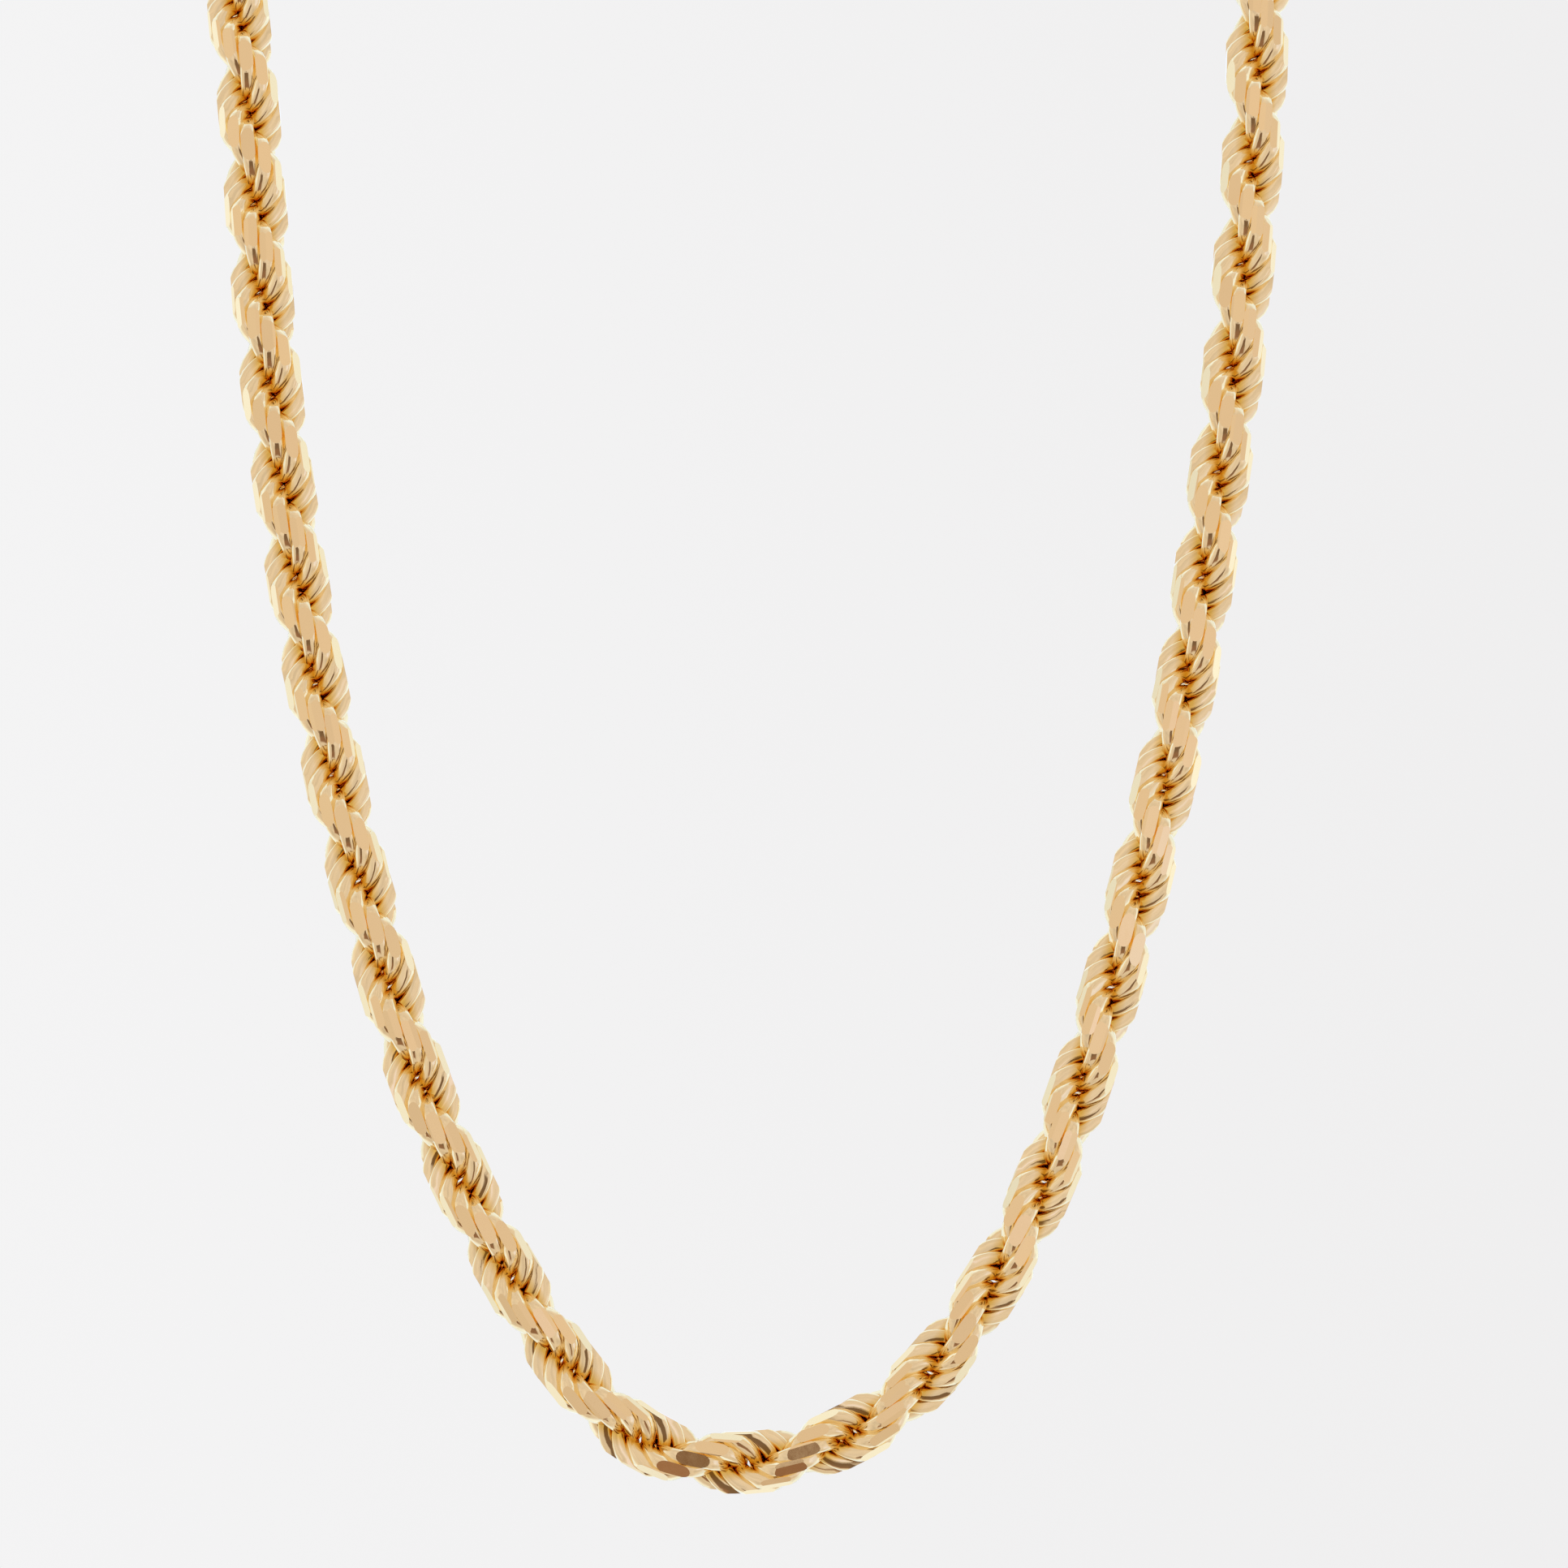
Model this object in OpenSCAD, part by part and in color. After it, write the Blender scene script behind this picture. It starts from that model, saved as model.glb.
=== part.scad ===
// Rope chain necklace in its worn form: a closed loop of chain on a barrel clasp.
// +Z is up and the wearer faces -Y, so the clasp lies at the nape and the chain
// hangs in front. The origin is on the side of the clasp that touches the neck.

/* [Chain] */
// Outer diameter of the chain, over its links
chain_d = 5; // [3:0.5:6]

/* [Clasp] */
// Length of the clasp from end to end
clasp_len = 14; // [11:1:20]
// How far the barrel stands out beyond the chain all round
barrel_proud = 0.5; // [0.4:0.1:1.5]
// Length of the collar at each end, where the chain is soldered on
collar_len = 1.6; // [1:0.1:3]
// How far a collar stands out beyond the chain that it holds
collar_lip = 0.15; // [0.05:0.05:0.2]
// Step from a collar up to the bevelled end of the barrel
collar_step = 0.15; // [0.05:0.05:0.15]
// Length of the bevel at each end of the barrel
bevel_len = 0.8; // [0.4:0.1:1.5]
// Width of the groove where the two halves of the barrel meet
seam_w = 0.5; // [0.2:0.1:1]
// Depth of that groove
seam_depth = 0.3; // [0.1:0.1:0.5]

/* [Hidden] */
$fn = 96;

clasp_d = chain_d + 2 * barrel_proud;
clasp_y = clasp_d / 2;
barrel_len = clasp_len - 2 * collar_len;
collar_d = chain_d + 2 * collar_lip;
barrel_end_d = collar_d + 2 * collar_step;
// How far two pieces of the clasp's body run into each other
overlap = 0.01;

// Half of the chain's hidden stretch, from beside the clasp round the neck to the chest
neck_points = [
    [20.5, 3, 0],
    [35, -1, 0],
    [47.5, -10.5, -2],
    [54.5, -24, -5],
    [55.5, -39, -9.5],
    [51, -53.5, -17],
    [45, -66, -28],
    [41.5, -75.5, -41]
];

// The stretch that hangs on the chest, from the left of the wearer to the right
chest_points = [
    [40, -82, -54.5],
    [39.5, -86, -65],
    [38, -91.5, -81],
    [36, -96, -95.5],
    [33.5, -99.5, -110],
    [30, -102.5, -124.5],
    [26, -104.5, -138],
    [21, -105.5, -150.5],
    [14, -106, -161],
    [7.5, -106, -166],
    [0, -106, -168],
    [-7.5, -106, -166.5],
    [-13.5, -106, -161],
    [-20, -105.5, -150.5],
    [-25.5, -104.5, -138],
    [-30, -102.5, -123],
    [-33, -99.5, -110],
    [-35.5, -96, -96],
    [-37.5, -91.5, -80.5],
    [-39, -85.5, -63],
    [-40, -82, -54.5]
];

// Sides of the chain's outline, and rings along each step of the route
chain_sides = 12;
rings_per_step = 2;
// Square to the sloping loop, so it is never in line with the chain
loop_normal = [0, 0.84, -0.54];

function mirrored_x(p) = [-p[0], p[1], p[2]];
function reversed(list) = [for (i = [len(list) - 1:-1:0]) list[i]];
function unit(v) = v / norm(v);

clasp_end = [clasp_len / 2, clasp_y, 0];
route = concat(
    [clasp_end],
    neck_points,
    chest_points,
    [for (p = reversed(neck_points)) mirrored_x(p)],
    [mirrored_x(clasp_end)]
);
last = len(route) - 1;

// The route goes on past each end as its own mirror image, so it leaves the clasp straight
function past_end(end, next) = [2 * end[0] - next[0], next[1], next[2]];
function route_point(i) =
    i < 0 ? past_end(route[0], route[1]) :
    i > last ? past_end(route[last], route[last - 1]) :
    route[i];

// Smooth curve through the route's points, with t counted in steps of the route
function curve_point(a, b, c, d, u) =
    (2 * b + (c - a) * u + (2 * a - 5 * b + 4 * c - d) * u * u
        + (3 * b - a - 3 * c + d) * u * u * u) / 2;
function curve_slope(a, b, c, d, u) =
    ((c - a) + 2 * (2 * a - 5 * b + 4 * c - d) * u
        + 3 * (3 * b - a - 3 * c + d) * u * u) / 2;
function step_of(t) = min(floor(t), last - 1);
function chain_point(t) = let (i = step_of(t))
    curve_point(route_point(i - 1), route_point(i), route_point(i + 1), route_point(i + 2), t - i);
function chain_slope(t) = let (i = step_of(t))
    curve_slope(route_point(i - 1), route_point(i), route_point(i + 1), route_point(i + 2), t - i);

// One ring of the chain's outline, square to the route
function ring(t) =
    let (
        along = unit(chain_slope(t)),
        side = unit(cross(loop_normal, along)),
        up = cross(along, side)
    )
    [for (k = [0:chain_sides - 1]) let (a = 360 * k / chain_sides)
        chain_point(t) + chain_d / 2 * (cos(a) * side + sin(a) * up)];

module rope_chain() {
    ring_count = last * rings_per_step + 1;
    points = [for (i = [0:ring_count - 1]) each ring(i / rings_per_step)];
    start_cap = [for (k = [chain_sides - 1:-1:0]) k];
    end_cap = [for (k = [0:chain_sides - 1]) (ring_count - 1) * chain_sides + k];
    walls = [for (i = [0:ring_count - 2], k = [0:chain_sides - 1]) let (
            a = i * chain_sides + k,
            b = i * chain_sides + (k + 1) % chain_sides
        )
        each [[a, b, b + chain_sides], [a, b + chain_sides, a + chain_sides]]];
    color([0.90, 0.74, 0.48])
        polyhedron(points, concat([start_cap], walls, [end_cap]));
}

// One half of the clasp, from its middle to the chain's end
module clasp_half() {
    straight_len = barrel_len / 2 - bevel_len;
    cylinder(d = clasp_d - 2 * seam_depth, h = seam_w / 2 + overlap);
    translate([0, 0, seam_w / 2])
        cylinder(d = clasp_d, h = straight_len - seam_w / 2);
    translate([0, 0, straight_len])
        cylinder(d1 = clasp_d, d2 = barrel_end_d, h = bevel_len);
    translate([0, 0, barrel_len / 2 - overlap])
        cylinder(d = collar_d, h = collar_len + overlap);
}

module barrel_clasp() {
    color([0.88, 0.72, 0.46])
        translate([0, clasp_y, 0])
            for (way = [-1, 1])
                rotate([0, way * 90, 0]) clasp_half();
}

rope_chain();
barrel_clasp();
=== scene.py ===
# %% [markdown]
# A gold rope chain necklace
#
# The real thing is a loop of small oval rings of thick gold wire. Each ring is threaded through
# its neighbours and turned a little further round than the last one, so the rings wind up into
# what looks like two twisted strands. A cutter then shaves flats along the outside, which gives
# the mirror-like facets of a diamond-cut chain. The CAD model holds the loop as one plain tube
# and a barrel clasp at the nape. Here the tube gives way to the real rings, and everything gets
# its gold. First the CAD model is loaded as the frame that all pieces have to fit.

# %% Load the frame
import math
import random

import bmesh
import bpy
from mathutils import Euler, Matrix, Vector


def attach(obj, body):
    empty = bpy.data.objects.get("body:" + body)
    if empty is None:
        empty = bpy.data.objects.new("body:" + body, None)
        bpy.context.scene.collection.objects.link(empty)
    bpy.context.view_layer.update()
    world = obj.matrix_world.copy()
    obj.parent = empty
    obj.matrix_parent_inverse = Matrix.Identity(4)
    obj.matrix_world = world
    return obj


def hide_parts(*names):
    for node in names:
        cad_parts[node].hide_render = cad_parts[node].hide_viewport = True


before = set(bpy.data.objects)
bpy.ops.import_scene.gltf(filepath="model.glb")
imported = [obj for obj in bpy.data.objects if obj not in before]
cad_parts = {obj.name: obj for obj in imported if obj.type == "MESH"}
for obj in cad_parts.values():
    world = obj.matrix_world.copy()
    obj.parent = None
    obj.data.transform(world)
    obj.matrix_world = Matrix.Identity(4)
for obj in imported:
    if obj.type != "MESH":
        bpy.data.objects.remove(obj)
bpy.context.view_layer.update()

# %% [markdown]
# The camera
#
# The picture is a close view from straight in front of the chest, taken from some way off, so a
# long lens at a metre and a half matches it. It takes in only the lower part of the loop. The
# camera comes first, because all that follows is judged through it. A plain display transform
# keeps the pale background as pale as it is, which a film-like one would turn grey.

# %% Camera and display
MM = 0.001
VIEW_DISTANCE = 1500
LOOKED_AT = (2.8, -106, -115.75)
scene = bpy.context.scene

lens = bpy.data.cameras.new("front_camera")
lens.sensor_width = 36.0
lens.lens = 447.0
lens.clip_start = 0.05
lens.clip_end = 20.0
camera = bpy.data.objects.new("front_camera", lens)
camera.location = (LOOKED_AT[0] * MM, (LOOKED_AT[1] - VIEW_DISTANCE) * MM, LOOKED_AT[2] * MM)
camera.rotation_euler = (math.radians(90), 0, 0)
scene.collection.objects.link(camera)
scene.camera = camera
scene.view_settings.view_transform = "Standard"
seen_width = VIEW_DISTANCE * lens.sensor_width / lens.lens
print("the camera sees", round(seen_width, 1), "mm across the chain")

# %% [markdown]
# The route of the loop
#
# The chain leaves one end of the clasp, lies round the neck and hangs down the chest in a long U,
# then comes back up on the other side. These are the same points as in the part's source, in
# millimetres. They could be joined by a Bezier curve, but the rings need even steps along the
# loop and a direction at each, so a short function runs a smooth curve through the points and
# measures its length as it goes.

# %% Route points
neck_points = [
    (20.5, 3, 0), (35, -1, 0), (47.5, -10.5, -2), (54.5, -24, -5),
    (55.5, -39, -9.5), (51, -53.5, -17), (45, -66, -28), (41.5, -75.5, -41),
]
chest_points = [
    (40, -82, -54.5), (39.5, -86, -65), (38, -91.5, -81), (36, -96, -95.5),
    (33.5, -99.5, -110), (30, -102.5, -124.5), (26, -104.5, -138), (21, -105.5, -150.5),
    (14, -106, -161), (7.5, -106, -166), (0, -106, -168), (-7.5, -106, -166.5),
    (-13.5, -106, -161), (-20, -105.5, -150.5), (-25.5, -104.5, -138), (-30, -102.5, -123),
    (-33, -99.5, -110), (-35.5, -96, -96), (-37.5, -91.5, -80.5), (-39, -85.5, -63),
    (-40, -82, -54.5),
]
clasp_end = (7, 3, 0)
far_side = [(-x, y, z) for x, y, z in reversed([clasp_end] + neck_points)]
route = [Vector(p) * MM for p in [clasp_end] + neck_points + chest_points + far_side]
# The curve needs a point beyond each end, and these two make it leave the clasp straight
before_start = Vector((2 * route[0].x - route[1].x, route[1].y, route[1].z))
after_end = Vector((2 * route[-1].x - route[-2].x, route[-2].y, route[-2].z))
route = [before_start] + route + [after_end]
print(len(route) - 2, "points on the route")

# %% Walk along the route
STEPS_BETWEEN = 40


def smooth_point(a, b, c, d, u):
    """A point between b and c on the smooth curve through a, b, c and d."""
    bend = 2 * a - 5 * b + 4 * c - d
    twist = 3 * b - a - 3 * c + d
    return (2 * b + (c - a) * u + bend * u * u + twist * u * u * u) / 2


walk = []
for i in range(1, len(route) - 2):
    for k in range(STEPS_BETWEEN):
        walk.append(smooth_point(*route[i - 1:i + 3], k / STEPS_BETWEEN))
walk.append(route[-2].copy())

distance = [0.0]
for here, there in zip(walk, walk[1:]):
    distance.append(distance[-1] + (there - here).length)
loop_length = distance[-1]
print("the chain is", round(loop_length / MM, 1), "mm long between the ends of the clasp")

# %% [markdown]
# Which way the chain faces
#
# A chain that is simply laid along a line may twist, but this one lies flat on the chest with
# one row of facets to the front. So each point of the route gets a direction called outward. At
# the lowest point it is straight forwards, and from there it is carried along both ways, turned
# only as much as the route itself turns. That is how a chain lies that nobody has twisted. Only
# two or three degrees of roll are added away from the bottom, where the chain settles on the
# chest.

# %% Carry the outward direction along
along = [(b - a).normalized() for a, b in zip(walk, walk[1:])]
along.append(along[-1].copy())
lowest = min(range(len(walk)), key=lambda i: walk[i].z)
outward = [None] * len(walk)
outward[lowest] = Vector((0, -1, 0))


def carried(direction, old_along, new_along):
    """The direction after a step from old_along to new_along, with no twist added."""
    turned = old_along.rotation_difference(new_along) @ direction
    return (turned - new_along * turned.dot(new_along)).normalized()


for i in range(lowest + 1, len(walk)):
    outward[i] = carried(outward[i - 1], along[i - 1], along[i])
for i in range(lowest - 1, -1, -1):
    outward[i] = carried(outward[i + 1], along[i + 1], along[i])

ROLL = math.radians(2.5)
UNROLLED = 6 * MM
ROLL_EASE = 4 * MM
for i in range(len(walk)):
    away = abs(distance[i] - distance[lowest])
    share = min(1.0, max(0.0, (away - UNROLLED) / ROLL_EASE))
    outward[i] = Matrix.Rotation(ROLL * share, 3, along[i]) @ outward[i]
print("lowest point at", [round(v / MM, 1) for v in walk[lowest]])

# %% [markdown]
# One ring of wire
#
# Each link starts as a length of wire that is bent into an oval and soldered shut. The wire isn't
# round: its two sides are rolled flat, so that the rings pack closely, and only its edges are
# rounded. A torus could be added ready made, but its section is a circle. So a section of eight
# points is squared up, spun round in a full circle and then pushed into the oval, which is drawn
# out at its two ends, where the wire runs back into the middle of the chain. Both are done by
# raising a circle's coordinates to a power: one below 1 pushes the points outwards into corners,
# and one above 1 pulls them in. A Subdivision Surface rounds the wire later, and a slight crease
# along the four corners keeps its sides flat.

# %% Wire and ring sizes
WIRE_WIDTH = 1.16 * MM
WIRE_THICKNESS = 1.13 * MM
RING_HALF_WIDTH = 2.20 * MM
RING_HALF_HEIGHT = 2.60 * MM
ROUND_RING = 2.3 * MM
RING_STEPS = 12
WIRE_SIDES = 8
SQUARE_ACROSS, SQUARE_THROUGH = 0.34, 0.64
OVAL_ACROSS, OVAL_UP = 1.35, 0.85
CORNER_CREASE = 0.28
CORNER_FROM = 0.4 * WIRE_THICKNESS
WIDE_TRIANGLE = 0.3 * ROUND_RING ** 2


def signed_power(value, power):
    """The value's size raised to a power, with its sign kept."""
    return math.copysign(abs(value) ** power, value)


def wire_section(ring):
    """Eight points round a squared section, within WIRE_WIDTH and WIRE_THICKNESS."""
    bmesh.ops.create_circle(ring, segments=WIRE_SIDES, radius=1, cap_ends=False)
    bmesh.ops.rotate(ring, verts=ring.verts, cent=(0, 0, 0),
                     matrix=Matrix.Rotation(math.pi / WIRE_SIDES, 3, "Z"))
    for vert in ring.verts:
        vert.co.x = signed_power(vert.co.x, SQUARE_ACROSS) * WIRE_WIDTH / 2
        vert.co.y = signed_power(vert.co.y, SQUARE_THROUGH) * WIRE_THICKNESS / 2


def wire_ring():
    """A closed oval ring of wire that stands in the plane of X and Z, with its two layers."""
    ring = bmesh.new()
    crease = ring.edges.layers.float.new("crease_edge")
    ring.faces.layers.float.new("diamond_cut")
    wire_section(ring)
    bmesh.ops.translate(ring, verts=ring.verts, vec=(ROUND_RING, 0, 0))
    bmesh.ops.spin(ring, geom=ring.verts[:] + ring.edges[:], cent=(0, 0, 0), axis=(0, 1, 0),
                   angle=math.tau, steps=RING_STEPS, use_merge=True)
    # An edge that runs along the ring spans a wide triangle with its centre, the others a thin one
    for edge in ring.edges:
        here, there = (vert.co for vert in edge.verts)
        along_ring = here.cross(there).length > WIDE_TRIANGLE
        if along_ring and abs(here.y) > CORNER_FROM:
            edge[crease] = CORNER_CREASE
    for vert in ring.verts:
        angle = math.atan2(vert.co.z, vert.co.x)
        across, up = math.cos(angle), math.sin(angle)
        on_circle = Vector((across, 0, up)) * ROUND_RING
        on_oval = Vector((RING_HALF_WIDTH * signed_power(across, OVAL_ACROSS), 0,
                          RING_HALF_HEIGHT * signed_power(up, OVAL_UP)))
        vert.co += on_oval - on_circle
    return ring


trial = wire_ring()
print("a ring of wire has", len(trial.faces), "faces")
trial.free()

# %% [markdown]
# Cutting the flats
#
# When the chain is twisted up, it is frozen to a drum and a diamond tool planes flats along it.
# The flats lie the same way for every link, whichever way that link is turned, so the cutting
# comes after the turning. A knife plane does this job: it cuts the ring, clears what is outside
# and the hole is filled with one flat face. Its edges are marked sharp and fully creased, so the
# rounding later leaves the flat as flat as the tool made it. A Weighted Normal modifier comes
# last, so that small faces round an edge don't shade the large flat ones beside them.

# %% Turn and cut a link
FLATS = 12
FLAT_DISTANCE = 2.40 * MM


def cut_flats(link):
    """Plane all the flats on a link that is turned already."""
    crease = link.edges.layers.float["crease_edge"]
    mirror = link.faces.layers.float["diamond_cut"]
    for k in range(FLATS):
        angle = math.tau * k / FLATS
        facing = Vector((math.sin(angle), -math.cos(angle), 0))
        everything = link.verts[:] + link.edges[:] + link.faces[:]
        cut = bmesh.ops.bisect_plane(link, geom=everything, plane_co=facing * FLAT_DISTANCE,
                                     plane_no=facing, clear_outer=True)
        rim = [g for g in cut["geom_cut"] if isinstance(g, bmesh.types.BMEdge)]
        if not rim:
            continue
        filled = bmesh.ops.holes_fill(link, edges=rim, sides=0)
        for face in filled["faces"]:
            face[mirror] = 1.0
        for edge in rim:
            edge.smooth = False
            edge[crease] = 1.0


def cut_link(twist):
    """A link turned by this angle and cut, upright at the origin, as a bmesh."""
    link = wire_ring()
    turn = Matrix.Rotation(twist, 3, "Z")
    bmesh.ops.rotate(link, verts=link.verts, cent=(0, 0, 0), matrix=turn)
    cut_flats(link)
    for face in link.faces:
        face.smooth = True
    bmesh.ops.recalc_face_normals(link, faces=link.faces)
    # How near the middle of the chain each point lies; the material paints shade from this
    depth = link.verts.layers.float.new("toward_core")
    for vert in link.verts:
        from_axis = math.hypot(vert.co.x, vert.co.y)
        vert[depth] = min(1.0, max(0.0, 1 - from_axis / FLAT_DISTANCE))
    return link


trial = cut_link(0.0)
print("a cut link has", len(trial.faces), "faces")
trial.free()

# %% [markdown]
# How fast the chain twists
#
# Every link is turned a little further than the one before, and when the turns add up to half of
# a circle the pattern starts again. That makes one lobe. But a chain that has been worn isn't
# even: it has unwound a little in some places, where the lobes are longer, and is wound up
# tighter in others. One angle for all links would be simpler. Instead a short list says how far
# a link is turned on from the last, at some numbers of links, and the rest are worked out
# between them.

# %% Pitch and twist
PITCH = 1.226 * MM
FIRST_LINK_AT = 0.773 * MM
TWIST_START = 135.1
turn_stops = [(0, 25.9), (141, 25.9), (166, 26.85), (279, 26.85), (285, 28.1), (297, 28.1),
              (301, 28.5), (331, 28.5), (341, 26.85), (1000, 26.85)]

count = round((loop_length - 2 * FIRST_LINK_AT) / PITCH) + 1
step = (loop_length - 2 * FIRST_LINK_AT) / (count - 1)


def turn_at(number):
    """How many degrees a link is turned on from the one before it."""
    k = max(k for k in range(len(turn_stops) - 1) if turn_stops[k][0] <= number)
    (low, slow), (high, fast) = turn_stops[k:k + 2]
    return slow + (fast - slow) * (number - low) / (high - low)


twists = [math.radians(TWIST_START)]
for number in range(1, count):
    twists.append(twists[-1] + math.radians(turn_at(number)))
print(count, "links", round(step / MM, 4), "mm apart")
tightest = max(turn for _, turn in turn_stops)
loosest = min(turn for _, turn in turn_stops)
print("lobes of", round(180 / tightest * step / MM, 2), "to",
      round(180 / loosest * step / MM, 2), "mm")

# %% [markdown]
# Laying the links
#
# The rings are stiff, so each is set down whole, square to the route and not bent along it. The
# first and the last sit almost half inside the clasp's collars, where the real ones are soldered
# in. Each link also leans by a degree or so, at random, because they hang loose in each other,
# and so no two of their flats shine quite alike. The links are joined into four meshes, one for
# each side of the neck and each side of the chest, which is far lighter than some four hundred
# objects. Each link also gets a random number, which its material uses to give it a tone of its
# own.

# %% Place every link
LEAN_LIMIT = 1.5
chance = random.Random(12)


def drawn_habit():
    """How one link leans, as a matrix, and its own tone from 0 to 1."""
    leans = [math.radians(chance.uniform(-LEAN_LIMIT, LEAN_LIMIT)) for _ in range(3)]
    return Euler(leans).to_matrix(), chance.random()


# The link in the first collar draws last, so without it all the others would be the same
habits = [drawn_habit() for _ in range(count - 1)]
habits.insert(0, drawn_habit())


def place_at(length):
    """The matrix that carries a link from the origin to that length along the route."""
    i = max(k for k in range(0, len(distance) - 1, STEPS_BETWEEN) if distance[k] <= length)
    while distance[i + 1] < length:
        i += 1
    share = (length - distance[i]) / (distance[i + 1] - distance[i])
    point = walk[i].lerp(walk[i + 1], share)
    z_axis = -(along[i].lerp(along[i + 1], share)).normalized()
    out = outward[i].lerp(outward[i + 1], share)
    y_axis = -(out - z_axis * out.dot(z_axis)).normalized()
    x_axis = y_axis.cross(z_axis)
    turn = Matrix((x_axis, y_axis, z_axis)).transposed()
    return Matrix.Translation(point) @ turn.to_4x4()


def chain_piece(name, first, last):
    """One mesh of links, from the first number up to but not including the last."""
    joined = bmesh.new()
    for number in range(first, last):
        link = cut_link(twists[number])
        lean, shade = habits[number]
        bmesh.ops.rotate(link, verts=link.verts, cent=(0, 0, 0), matrix=lean)
        bmesh.ops.transform(link, matrix=place_at(FIRST_LINK_AT + number * step), verts=link.verts)
        tone = link.verts.layers.float.new("link_tone")
        for vert in link.verts:
            vert[tone] = shade
        carrier = bpy.data.meshes.new("one_link")
        link.to_mesh(carrier)
        link.free()
        joined.from_mesh(carrier)
        bpy.data.meshes.remove(carrier)
    mesh = bpy.data.meshes.new(name)
    joined.to_mesh(mesh)
    joined.free()
    piece = bpy.data.objects.new(name, mesh)
    scene.collection.objects.link(piece)
    rounding = piece.modifiers.new("rounding", "SUBSURF")
    rounding.levels = 1
    rounding.render_levels = 1
    flat_sides = piece.modifiers.new("flat_sides", "WEIGHTED_NORMAL")
    flat_sides.keep_sharp = True
    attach(piece, "root")
    return piece


halfway = count // 2
quarter = count // 4
chain_pieces = [
    chain_piece("chain_neck_left", 0, quarter),
    chain_piece("chain_chest_left", quarter, halfway),
    chain_piece("chain_chest_right", halfway, count - quarter),
    chain_piece("chain_neck_right", count - quarter, count),
]
for piece in chain_pieces:
    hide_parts("rope_chain")
    print(piece.name, len(piece.data.polygons), "faces")

# %% [markdown]
# Gold, and what the polish leaves
#
# Warm yellow gold is a metal, so its colour is the colour of its reflections. Two effects appear
# on both the chain and the clasp, and each is a node group that is built once. The first varies
# the tone a little, as alloy and handling do. The second gives the faint unevenness that a
# polishing wheel leaves, as a roughness and a height. A photograph of real scratches would show
# the same scratches everywhere, whereas noise in object coordinates never repeats.

# %% Node group helpers


def new_group(name, inputs, outputs):
    """An empty shader node group with these sockets, and its two end nodes."""
    group = bpy.data.node_groups.new(name, "ShaderNodeTree")
    kinds = {"value": "NodeSocketFloat", "colour": "NodeSocketColor", "place": "NodeSocketVector"}
    for label, kind, start in inputs:
        socket = group.interface.new_socket(label, in_out="INPUT", socket_type=kinds[kind])
        if start is not None:
            socket.default_value = start
    for label, kind in outputs:
        group.interface.new_socket(label, in_out="OUTPUT", socket_type=kinds[kind])
    return group, group.nodes.new("NodeGroupInput"), group.nodes.new("NodeGroupOutput")


def noise(tree, place, scale, detail):
    """Soft noise from 0 to 1; its scale may be a socket or a plain number."""
    node = tree.nodes.new("ShaderNodeTexNoise")
    node.inputs["Detail"].default_value = detail
    tree.links.new(place, node.inputs["Vector"])
    if isinstance(scale, (int, float)):
        node.inputs["Scale"].default_value = scale
    else:
        tree.links.new(scale, node.inputs["Scale"])
    return node.outputs["Fac"]


def spread(tree, value, low, high):
    """The value from 0 to 1, stretched to run from low to high."""
    node = tree.nodes.new("ShaderNodeMapRange")
    tree.links.new(value, node.inputs["Value"])
    for label, end in (("To Min", low), ("To Max", high)):
        if isinstance(end, (int, float)):
            node.inputs[label].default_value = end
        else:
            tree.links.new(end, node.inputs[label])
    return node.outputs["Result"]


def mixed(tree, amount, first, second):
    """Two colours mixed by an amount; each may be a socket or a plain colour."""
    node = tree.nodes.new("ShaderNodeMix")
    node.data_type = "RGBA"
    tree.links.new(amount, node.inputs["Factor"])
    for label, colour in (("A", first), ("B", second)):
        socket = next(s for s in node.inputs if s.name == label and s.type == "RGBA")
        if isinstance(colour, tuple):
            socket.default_value = (*colour, 1)
        else:
            tree.links.new(colour, socket)
    return next(s for s in node.outputs if s.type == "RGBA")


print("node helpers ready")

# %% The gold tone group
tone_group, tone_in, tone_out = new_group(
    "gold_tone",
    [("Place", "place", None), ("Light Gold", "colour", (0.99, 0.77, 0.41, 1)),
     ("Deep Gold", "colour", (0.97, 0.745, 0.385, 1)), ("Cloud Scale", "value", 300.0)],
    [("Colour", "colour")],
)
clouds = noise(tone_group, tone_in.outputs["Place"], tone_in.outputs["Cloud Scale"], detail=2.0)
tone = mixed(tone_group, clouds, tone_in.outputs["Light Gold"], tone_in.outputs["Deep Gold"])
tone_group.links.new(tone, tone_out.inputs["Colour"])
print("built", tone_group.name)

# %% The polish group
polish_group, polish_in, polish_out = new_group(
    "polish_marks",
    [("Place", "place", None), ("Smoothest", "value", 0.08), ("Roughest", "value", 0.2),
     ("Mark Scale", "value", 1500.0)],
    [("Roughness", "value"), ("Height", "value")],
)
marks = noise(polish_group, polish_in.outputs["Place"], polish_in.outputs["Mark Scale"], detail=3.0)
rough = spread(polish_group, marks, polish_in.outputs["Smoothest"], polish_in.outputs["Roughest"])
polish_group.links.new(rough, polish_out.inputs["Roughness"])
polish_group.links.new(marks, polish_out.inputs["Height"])
print("built", polish_group.name)

# %% [markdown]
# The chain's gold
#
# The flats are bright from the diamond tool, and the sides of the wire, as the rollers left them,
# are a little paler. Towards the middle of the chain the gold is painted deeper and more orange:
# this is painted shade, for the shade between the wires and the light that bounces from wire to
# wire there. Three attributes were stored with each link: which faces are flats, how near the
# middle of the chain a point lies, and the link's own random number, which shifts its tone a
# little, because no two links are alike. One material for the flats and another for the sides
# would also do, but one that reads these three is simpler.

# %% Material helpers
BUMP_STRENGTH = 0.25


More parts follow.
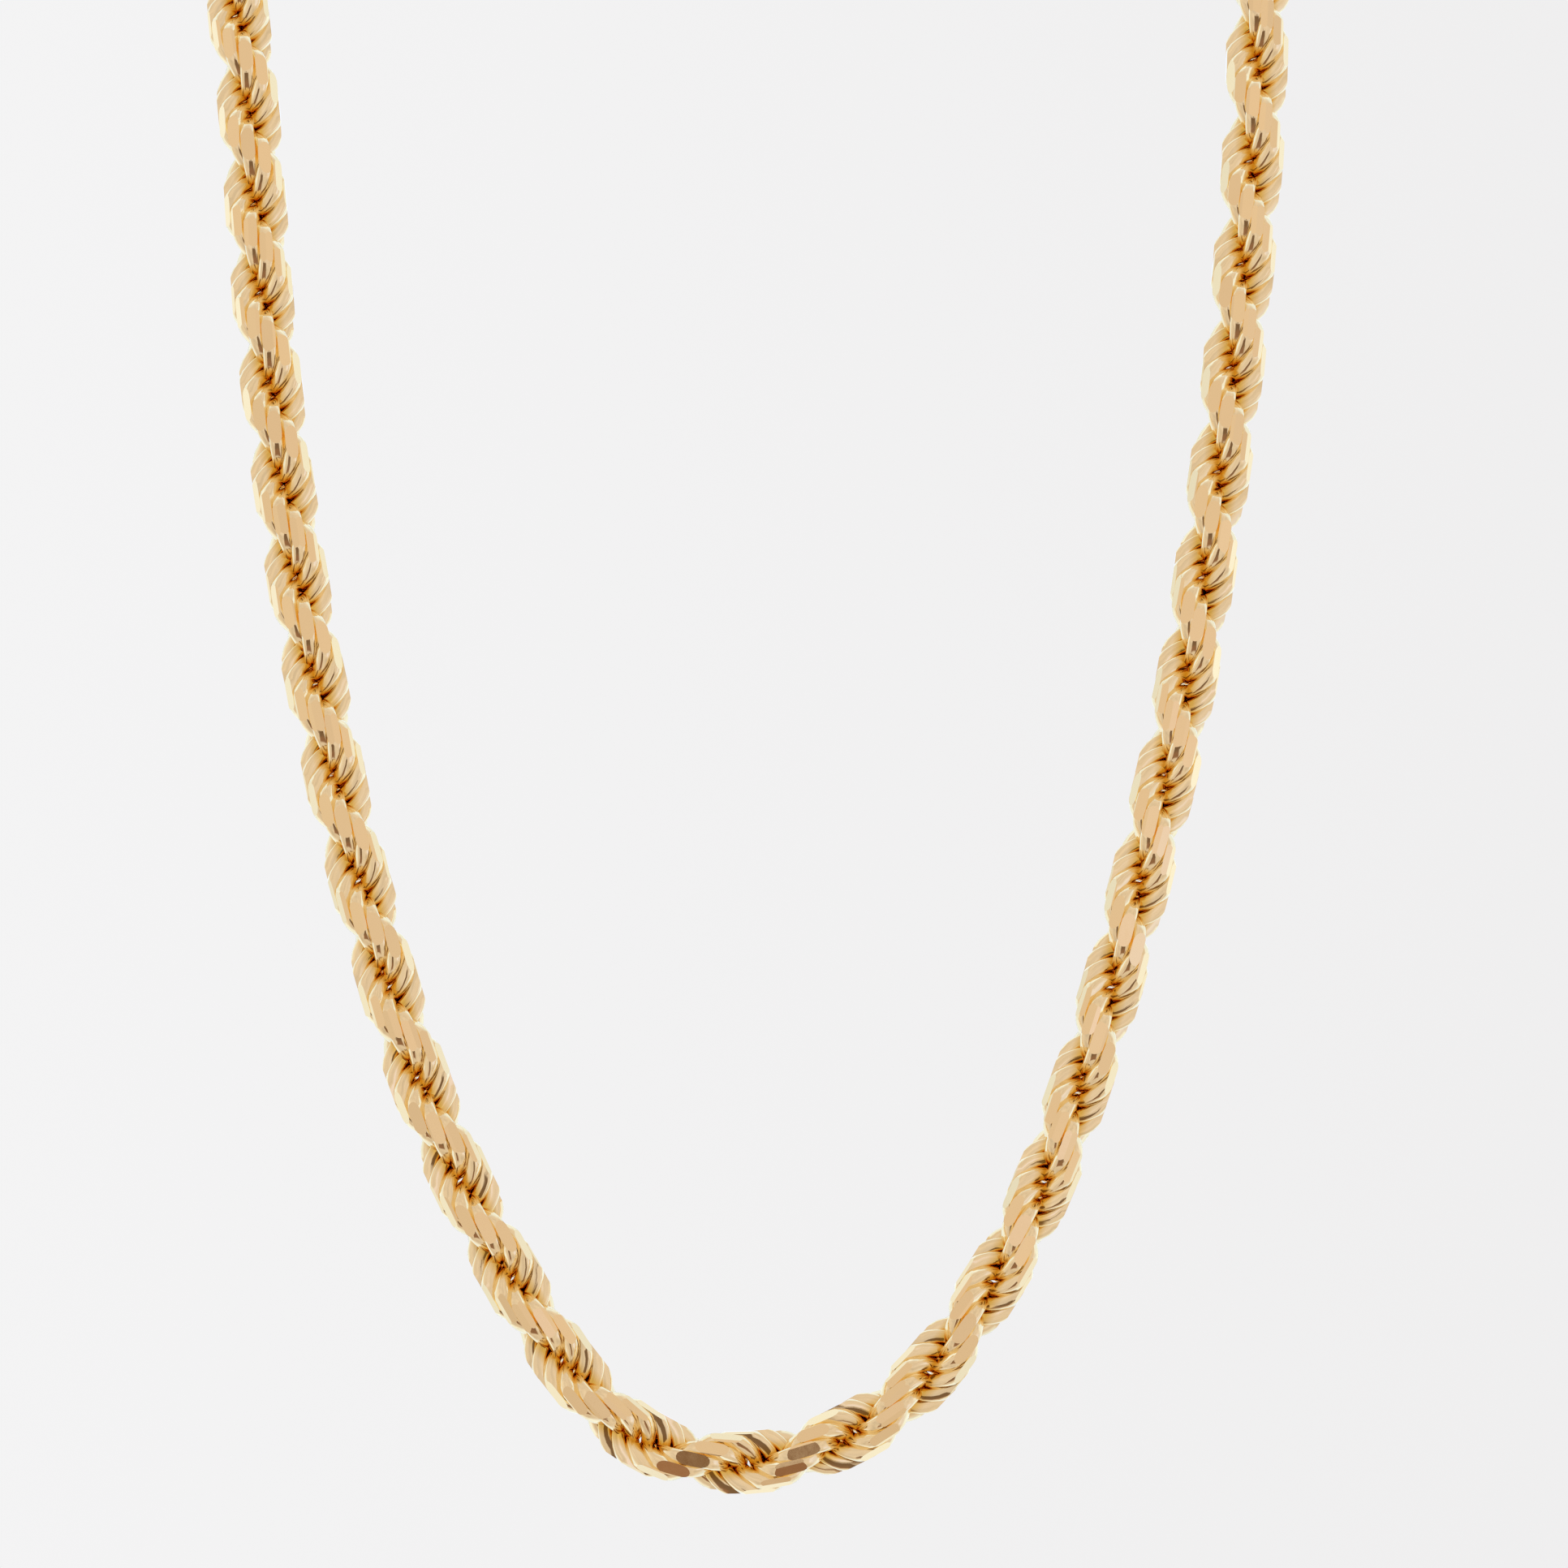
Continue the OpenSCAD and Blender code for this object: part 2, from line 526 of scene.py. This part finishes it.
def start_material(name):
    """A new metal, with its node tree, its shader and its object coordinates."""
    material = bpy.data.materials.new(name)
    material.use_nodes = True
    tree = material.node_tree
    shader = tree.nodes["Principled BSDF"]
    shader.inputs["Metallic"].default_value = 1.0
    place = tree.nodes.new("ShaderNodeTexCoord").outputs["Object"]
    return material, tree, shader, place


def use_group(tree, group, place, **values):
    """A node group placed in a material, with its own values for the named inputs."""
    node = tree.nodes.new("ShaderNodeGroup")
    node.node_tree = group
    tree.links.new(place, node.inputs["Place"])
    for label, value in values.items():
        node.inputs[label.replace("_", " ")].default_value = value
    return node


def stored(tree, name):
    """The number from 0 to 1 that was stored with the mesh under this name."""
    node = tree.nodes.new("ShaderNodeAttribute")
    node.attribute_name = name
    return node.outputs["Fac"]


def add_bump(tree, shader, height, depth):
    """Fine marks as deep as this where the height is 1."""
    bump = tree.nodes.new("ShaderNodeBump")
    bump.inputs["Strength"].default_value = BUMP_STRENGTH
    bump.inputs["Distance"].default_value = depth
    tree.links.new(height, bump.inputs["Height"])
    tree.links.new(bump.outputs["Normal"], shader.inputs["Normal"])


print("material helpers ready")

# %% Material of the chain
REDDER_GOLD = (0.99, 0.74, 0.40)
ROLLED_GOLD = (0.99, 0.815, 0.465)
# Painted shade: towards the middle of the chain the gold is painted deeper and more orange, for the
# shade between the wires
CORE_SHADE_GOLD = (0.86, 0.545, 0.105)
REDDEST_SHARE = 0.35
CORE_AT_RIM, CORE_AT_AXIS = -1.0, 2.3
POLISH_DEPTH = 0.006 * MM

chain_gold, tree, shader, place = start_material("chain_gold")
gold = use_group(tree, tone_group, place)
redder = spread(tree, stored(tree, "link_tone"), 0.0, REDDEST_SHARE)
links_differ = mixed(tree, redder, gold.outputs["Colour"], REDDER_GOLD)
rolled = mixed(tree, stored(tree, "diamond_cut"), ROLLED_GOLD, links_differ)
# Mixing stops at 0 and 1, so this painted shade sets in at 0.3 of the way in and is full at 0.6
core_shade = spread(tree, stored(tree, "toward_core"), CORE_AT_RIM, CORE_AT_AXIS)
coloured = mixed(tree, core_shade, rolled, CORE_SHADE_GOLD)
tree.links.new(coloured, shader.inputs["Base Color"])
polish = use_group(tree, polish_group, place, Smoothest=0.07, Roughest=0.12, Mark_Scale=1800.0)
tree.links.new(polish.outputs["Roughness"], shader.inputs["Roughness"])
add_bump(tree, shader, polish.outputs["Height"], POLISH_DEPTH)
for piece in chain_pieces:
    piece.data.materials.append(chain_gold)
print("painted", len(chain_pieces), "pieces of chain")

# %% [markdown]
# The clasp's gold
#
# The barrel clasp lies at the nape. Its shape in the CAD model is already right, so it stays and
# only its material changes. A barrel is turned on a lathe, which leaves fine rings round it. They
# come from noise that changes along the barrel and hardly at all round it, as the coordinates
# across it are squeezed to almost nothing. Its polish is duller than the chain's, in finer marks.

# %% Material of the clasp
LATHE_GOLD = (0.90, 0.66, 0.32)
LATHE_SCALE = 5000.0
LATHE_SHARE = 0.4
LATHE_DEPTH = 0.015 * MM
SQUEEZED = 0.02

clasp_gold, tree, shader, place = start_material("clasp_gold")
squeeze = tree.nodes.new("ShaderNodeMapping")
squeeze.inputs["Scale"].default_value = (1.0, SQUEEZED, SQUEEZED)
tree.links.new(place, squeeze.inputs["Vector"])
gold = use_group(tree, tone_group, place, Cloud_Scale=180.0)
lathe_lines = noise(tree, squeeze.outputs["Vector"], LATHE_SCALE, detail=3.0)
in_line = spread(tree, lathe_lines, 0.0, LATHE_SHARE)
lined = mixed(tree, in_line, gold.outputs["Colour"], LATHE_GOLD)
tree.links.new(lined, shader.inputs["Base Color"])
polish = use_group(tree, polish_group, squeeze.outputs["Vector"], Smoothest=0.12, Roughest=0.3,
                   Mark_Scale=4000.0)
tree.links.new(polish.outputs["Roughness"], shader.inputs["Roughness"])
add_bump(tree, shader, lathe_lines, LATHE_DEPTH)
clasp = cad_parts["barrel_clasp"]
clasp.data.materials.clear()
clasp.data.materials.append(clasp_gold)
print("painted", clasp.name)

# %% [markdown]
# A pale tent
#
# Jewellery is photographed in a tent of pale paper, and so is this. A wall and a floor could be
# two planes, but then their corner shows, and from behind there would be nothing. Here a profile
# of floor, curve and wall is spun once round the necklace, wide enough for a camera on any side.
# It glows by itself, because real paper is lit from all sides and this keeps it even, only a
# little less bright towards the right. It stays out of the reflections: the gold reflects the
# light of the room that comes next, and nothing else.

# %% Round backdrop
TENT_RADIUS = 4.5
TENT_FLOOR = -0.5
TENT_TOP = 3.0
CURVE_RADIUS = 1.0
CURVE_STEPS = 12
TENT_SIDES = 64

tent = bmesh.new()
profile = [(0.0, TENT_FLOOR)]
for k in range(CURVE_STEPS + 1):
    turn = math.radians(90 * k / CURVE_STEPS)
    profile.append((TENT_RADIUS - CURVE_RADIUS + CURVE_RADIUS * math.sin(turn),
                    TENT_FLOOR + CURVE_RADIUS - CURVE_RADIUS * math.cos(turn)))
profile.append((TENT_RADIUS, TENT_TOP))
points = [tent.verts.new((out, 0, up)) for out, up in profile]
edges = [tent.edges.new(pair) for pair in zip(points, points[1:])]
bmesh.ops.spin(tent, geom=points + edges, cent=(0, 0, 0), axis=(0, 0, 1), angle=math.tau,
               steps=TENT_SIDES, use_merge=True)
# The spin leaves many points at the middle of the floor, and they become one
bmesh.ops.remove_doubles(tent, verts=tent.verts, dist=0.1 * MM)
for face in tent.faces:
    face.smooth = True
tent_mesh = bpy.data.meshes.new("backdrop")
tent.to_mesh(tent_mesh)
tent.free()
backdrop = bpy.data.objects.new("backdrop", tent_mesh)
scene.collection.objects.link(backdrop)
backdrop.visible_glossy = False
print("backdrop of", len(tent_mesh.polygons), "faces")

# %% Glowing paper
FADE_HALF_WIDTH = 0.26
LEFT_GLOW = (0.906, 0.903, 0.907)
RIGHT_GLOW = (0.865, 0.859, 0.861)

paper = bpy.data.materials.new("pale_paper")
paper.use_nodes = True
paper_shader = paper.node_tree.nodes["Principled BSDF"]
paper_shader.inputs["Base Color"].default_value = (0.0, 0.0, 0.0, 1)
paper_shader.inputs["Specular IOR Level"].default_value = 0.0
paper_shader.inputs["Emission Strength"].default_value = 1.0
paper_tree = paper.node_tree
paper_place = paper_tree.nodes.new("ShaderNodeTexCoord").outputs["Object"]
paper_split = paper_tree.nodes.new("ShaderNodeSeparateXYZ")
paper_tree.links.new(paper_place, paper_split.inputs[0])
fade = paper_tree.nodes.new("ShaderNodeMapRange")
fade.inputs["From Min"].default_value = -FADE_HALF_WIDTH
fade.inputs["From Max"].default_value = FADE_HALF_WIDTH
paper_tree.links.new(paper_split.outputs["X"], fade.inputs["Value"])
glow = mixed(paper_tree, fade.outputs["Result"], LEFT_GLOW, RIGHT_GLOW)
paper_tree.links.new(glow, paper_shader.inputs["Emission Color"])
backdrop.data.materials.append(paper)
print("the paper fades over", round(2 * FADE_HALF_WIDTH, 2), "m from left to right")

# %% [markdown]
# Light for polished metal
#
# A mirror-bright chain has no look of its own: it shows the room. So the room is painted on the
# world, by direction. Behind the chain it is a bright cool white, which gives the pale cream
# rims. In front it is softer and rosy, which gives the tan of the front flats, and a little darker
# above and below. Beside the chain it is a little warmer on the left than on the right. Two
# brighter cards hang in front: one near the middle, for the long flats of the right arm, and one
# at the far right. Two dark shapes stand straight in front, as a camera and its stand do. They
# make the small dark reflections that tell the eye that this is polished metal. Lamps could light
# the gold too, but a dark shape can't be made with a lamp. Between the links light bounces many
# times, so more bounces off shiny things are allowed than is usual.

# %% The world and its light
world = bpy.data.worlds.new("studio_room")
world.use_nodes = True
scene.world = world
tree = world.node_tree
background = tree.nodes["Background"]
looking = tree.nodes.new("ShaderNodeTexCoord").outputs["Generated"]
direction = tree.nodes.new("ShaderNodeSeparateXYZ")
tree.links.new(looking, direction.inputs[0])
scene.cycles.glossy_bounces = 10
print("light bounces off metal up to", scene.cycles.glossy_bounces, "times")

# %% [markdown]
# Masks for the room
#
# Cards and dark shapes could be planes that hang round the chain, but from some sides they would
# stand in the camera's way. So each part of the room is a colour that is mixed in by a mask, which
# is a ramp that is white where the part shows and black elsewhere, with soft edges. A card shows
# where three masks are all white: one across, one up and down, and one for the front. Last come
# soft patches all over, because no room is lit evenly.

# %% Helpers to paint with


def painted(tree, value, stops):
    """A colour that follows the value through these stops."""
    node = tree.nodes.new("ShaderNodeValToRGB")
    tree.links.new(value, node.inputs["Fac"])
    elements = node.color_ramp.elements
    elements[0].position, elements[1].position = stops[0][0], stops[-1][0]
    elements[0].color, elements[1].color = (*stops[0][1], 1), (*stops[-1][1], 1)
    for position, colour in stops[1:-1]:
        elements.new(position).color = (*colour, 1)
    return node.outputs["Color"]


def figured(tree, operation, *values):
    """One step of arithmetic on sockets or plain numbers."""
    node = tree.nodes.new("ShaderNodeMath")
    node.operation = operation
    for socket, value in zip(node.inputs, values):
        if isinstance(value, (int, float)):
            socket.default_value = value
        else:
            tree.links.new(value, socket)
    return node.outputs[0]


print("paint helpers ready")

# %% Masks
BLACK, WHITE = (0.0, 0.0, 0.0), (1.0, 1.0, 1.0)


def below(tree, value, fades, gone):
    """A mask that is white up to fades and black from gone on."""
    return painted(tree, value, [(0.0, WHITE), (fades, WHITE), (gone, BLACK), (1.0, BLACK)])


def above(tree, value, starts, full):
    """A mask that is black up to starts and white from full on."""
    return painted(tree, value, [(0.0, BLACK), (starts, BLACK), (full, WHITE), (1.0, WHITE)])


def between(tree, value, starts, full, fades, gone):
    """A mask that is white from full to fades, and black up to starts and from gone on."""
    return painted(tree, value, [(0.0, BLACK), (starts, BLACK), (full, WHITE), (fades, WHITE),
                                 (gone, BLACK), (1.0, BLACK)])


def overlap(tree, mask, *others):
    """A mask that is white where all of these are."""
    for other in others:
        mask = figured(tree, "MULTIPLY", mask, other)
    return mask


print("mask helpers ready")

# %% Directions seen from the chain
# A direction from -1 to 1 is halved and moved up by half, so it is 0.5 in the middle
rightward, backward, upward = [figured(tree, "MULTIPLY_ADD", direction.outputs[axis], 0.5, 0.5)
                               for axis in "XYZ"]
# Sideways is the same on both sides, and 0 in the middle
sideways = figured(tree, "ABSOLUTE", direction.outputs["X"])
print("four directions to paint by")

# %% The walls of the room
bright, back = (0.464, 0.528, 0.662), (0.472, 0.547, 0.692)
left_walls = painted(tree, backward, [(0.0, (0.385, 0.345, 0.352)), (0.30, (0.388, 0.347, 0.345)),
                                      (0.5, (0.402, 0.370, 0.370)), (0.70, bright), (1.0, back)])
right_walls = painted(tree, backward, [(0.0, (0.381, 0.336, 0.344)), (0.30, (0.388, 0.346, 0.360)),
                                       (0.5, (0.407, 0.380, 0.420)), (0.70, bright), (1.0, back)])
room = mixed(tree, rightward, left_walls, right_walls)
print("walls from rosy in front to cool white behind")

# %% Ceiling and floor in front
CEILING_COLOUR = (0.374, 0.330, 0.328)
FLOOR_COLOUR = (0.365, 0.322, 0.315)
in_front = below(tree, backward, fades=0.45, gone=0.62)
ceiling = overlap(tree, above(tree, upward, starts=0.62, full=0.80), in_front)
room = mixed(tree, ceiling, room, CEILING_COLOUR)
floor = overlap(tree, below(tree, upward, fades=0.20, gone=0.38), in_front)
room = mixed(tree, floor, room, FLOOR_COLOUR)
print("the room is darker above and below")

# %% Two brighter cards
MIDDLE_CARD_COLOUR = (0.420, 0.392, 0.490)
FAR_CARD_COLOUR = (0.435, 0.425, 0.540)
across = between(tree, rightward, starts=0.50, full=0.52, fades=0.60, gone=0.68)
up = between(tree, upward, starts=0.55, full=0.57, fades=0.63, gone=0.72)
middle_card = overlap(tree, across, up, in_front)
room = mixed(tree, middle_card, room, MIDDLE_CARD_COLOUR)
across = above(tree, rightward, starts=0.92, full=0.95)
up = between(tree, upward, starts=0.32, full=0.37, fades=0.53, gone=0.58)
far_card = overlap(tree, across, up, in_front)
room = mixed(tree, far_card, room, FAR_CARD_COLOUR)
print("two cards, near the middle and at the far right")

# %% Two dark shapes in front
LOWER_STAND_COLOUR = (0.150, 0.082, 0.055)
UPPER_STAND_COLOUR = (0.098, 0.062, 0.043)
EYE_COLOUR = (0.100, 0.054, 0.030)
ahead = below(tree, backward, fades=0.45, gone=0.5)
across = below(tree, sideways, fades=0.28, gone=0.35)
up = between(tree, upward, starts=0.05, full=0.07, fades=0.42, gone=0.45)
stand = overlap(tree, across, up, ahead)
stand_colour = painted(tree, upward, [(0.0, LOWER_STAND_COLOUR), (0.12, LOWER_STAND_COLOUR),
                                      (0.22, UPPER_STAND_COLOUR), (1.0, UPPER_STAND_COLOUR)])
room = mixed(tree, stand, room, stand_colour)
across = below(tree, sideways, fades=0.055, gone=0.07)
up = between(tree, upward, starts=0.45, full=0.46, fades=0.490, gone=0.495)
eye = overlap(tree, across, up, ahead)
room = mixed(tree, eye, room, EYE_COLOUR)
tree.links.new(room, background.inputs["Color"])
print("two dark shapes, one above the other")

# %% The room is never quite even
PATCH_SCALE = 2.5
LEAST_STRENGTH, ADDED_STRENGTH = 1.4, 1.2
patches = noise(tree, looking, PATCH_SCALE, detail=2.0)
strength = figured(tree, "MULTIPLY_ADD", patches, ADDED_STRENGTH, LEAST_STRENGTH)
tree.links.new(strength, background.inputs["Strength"])
print("painted the room with", len(tree.nodes), "nodes")
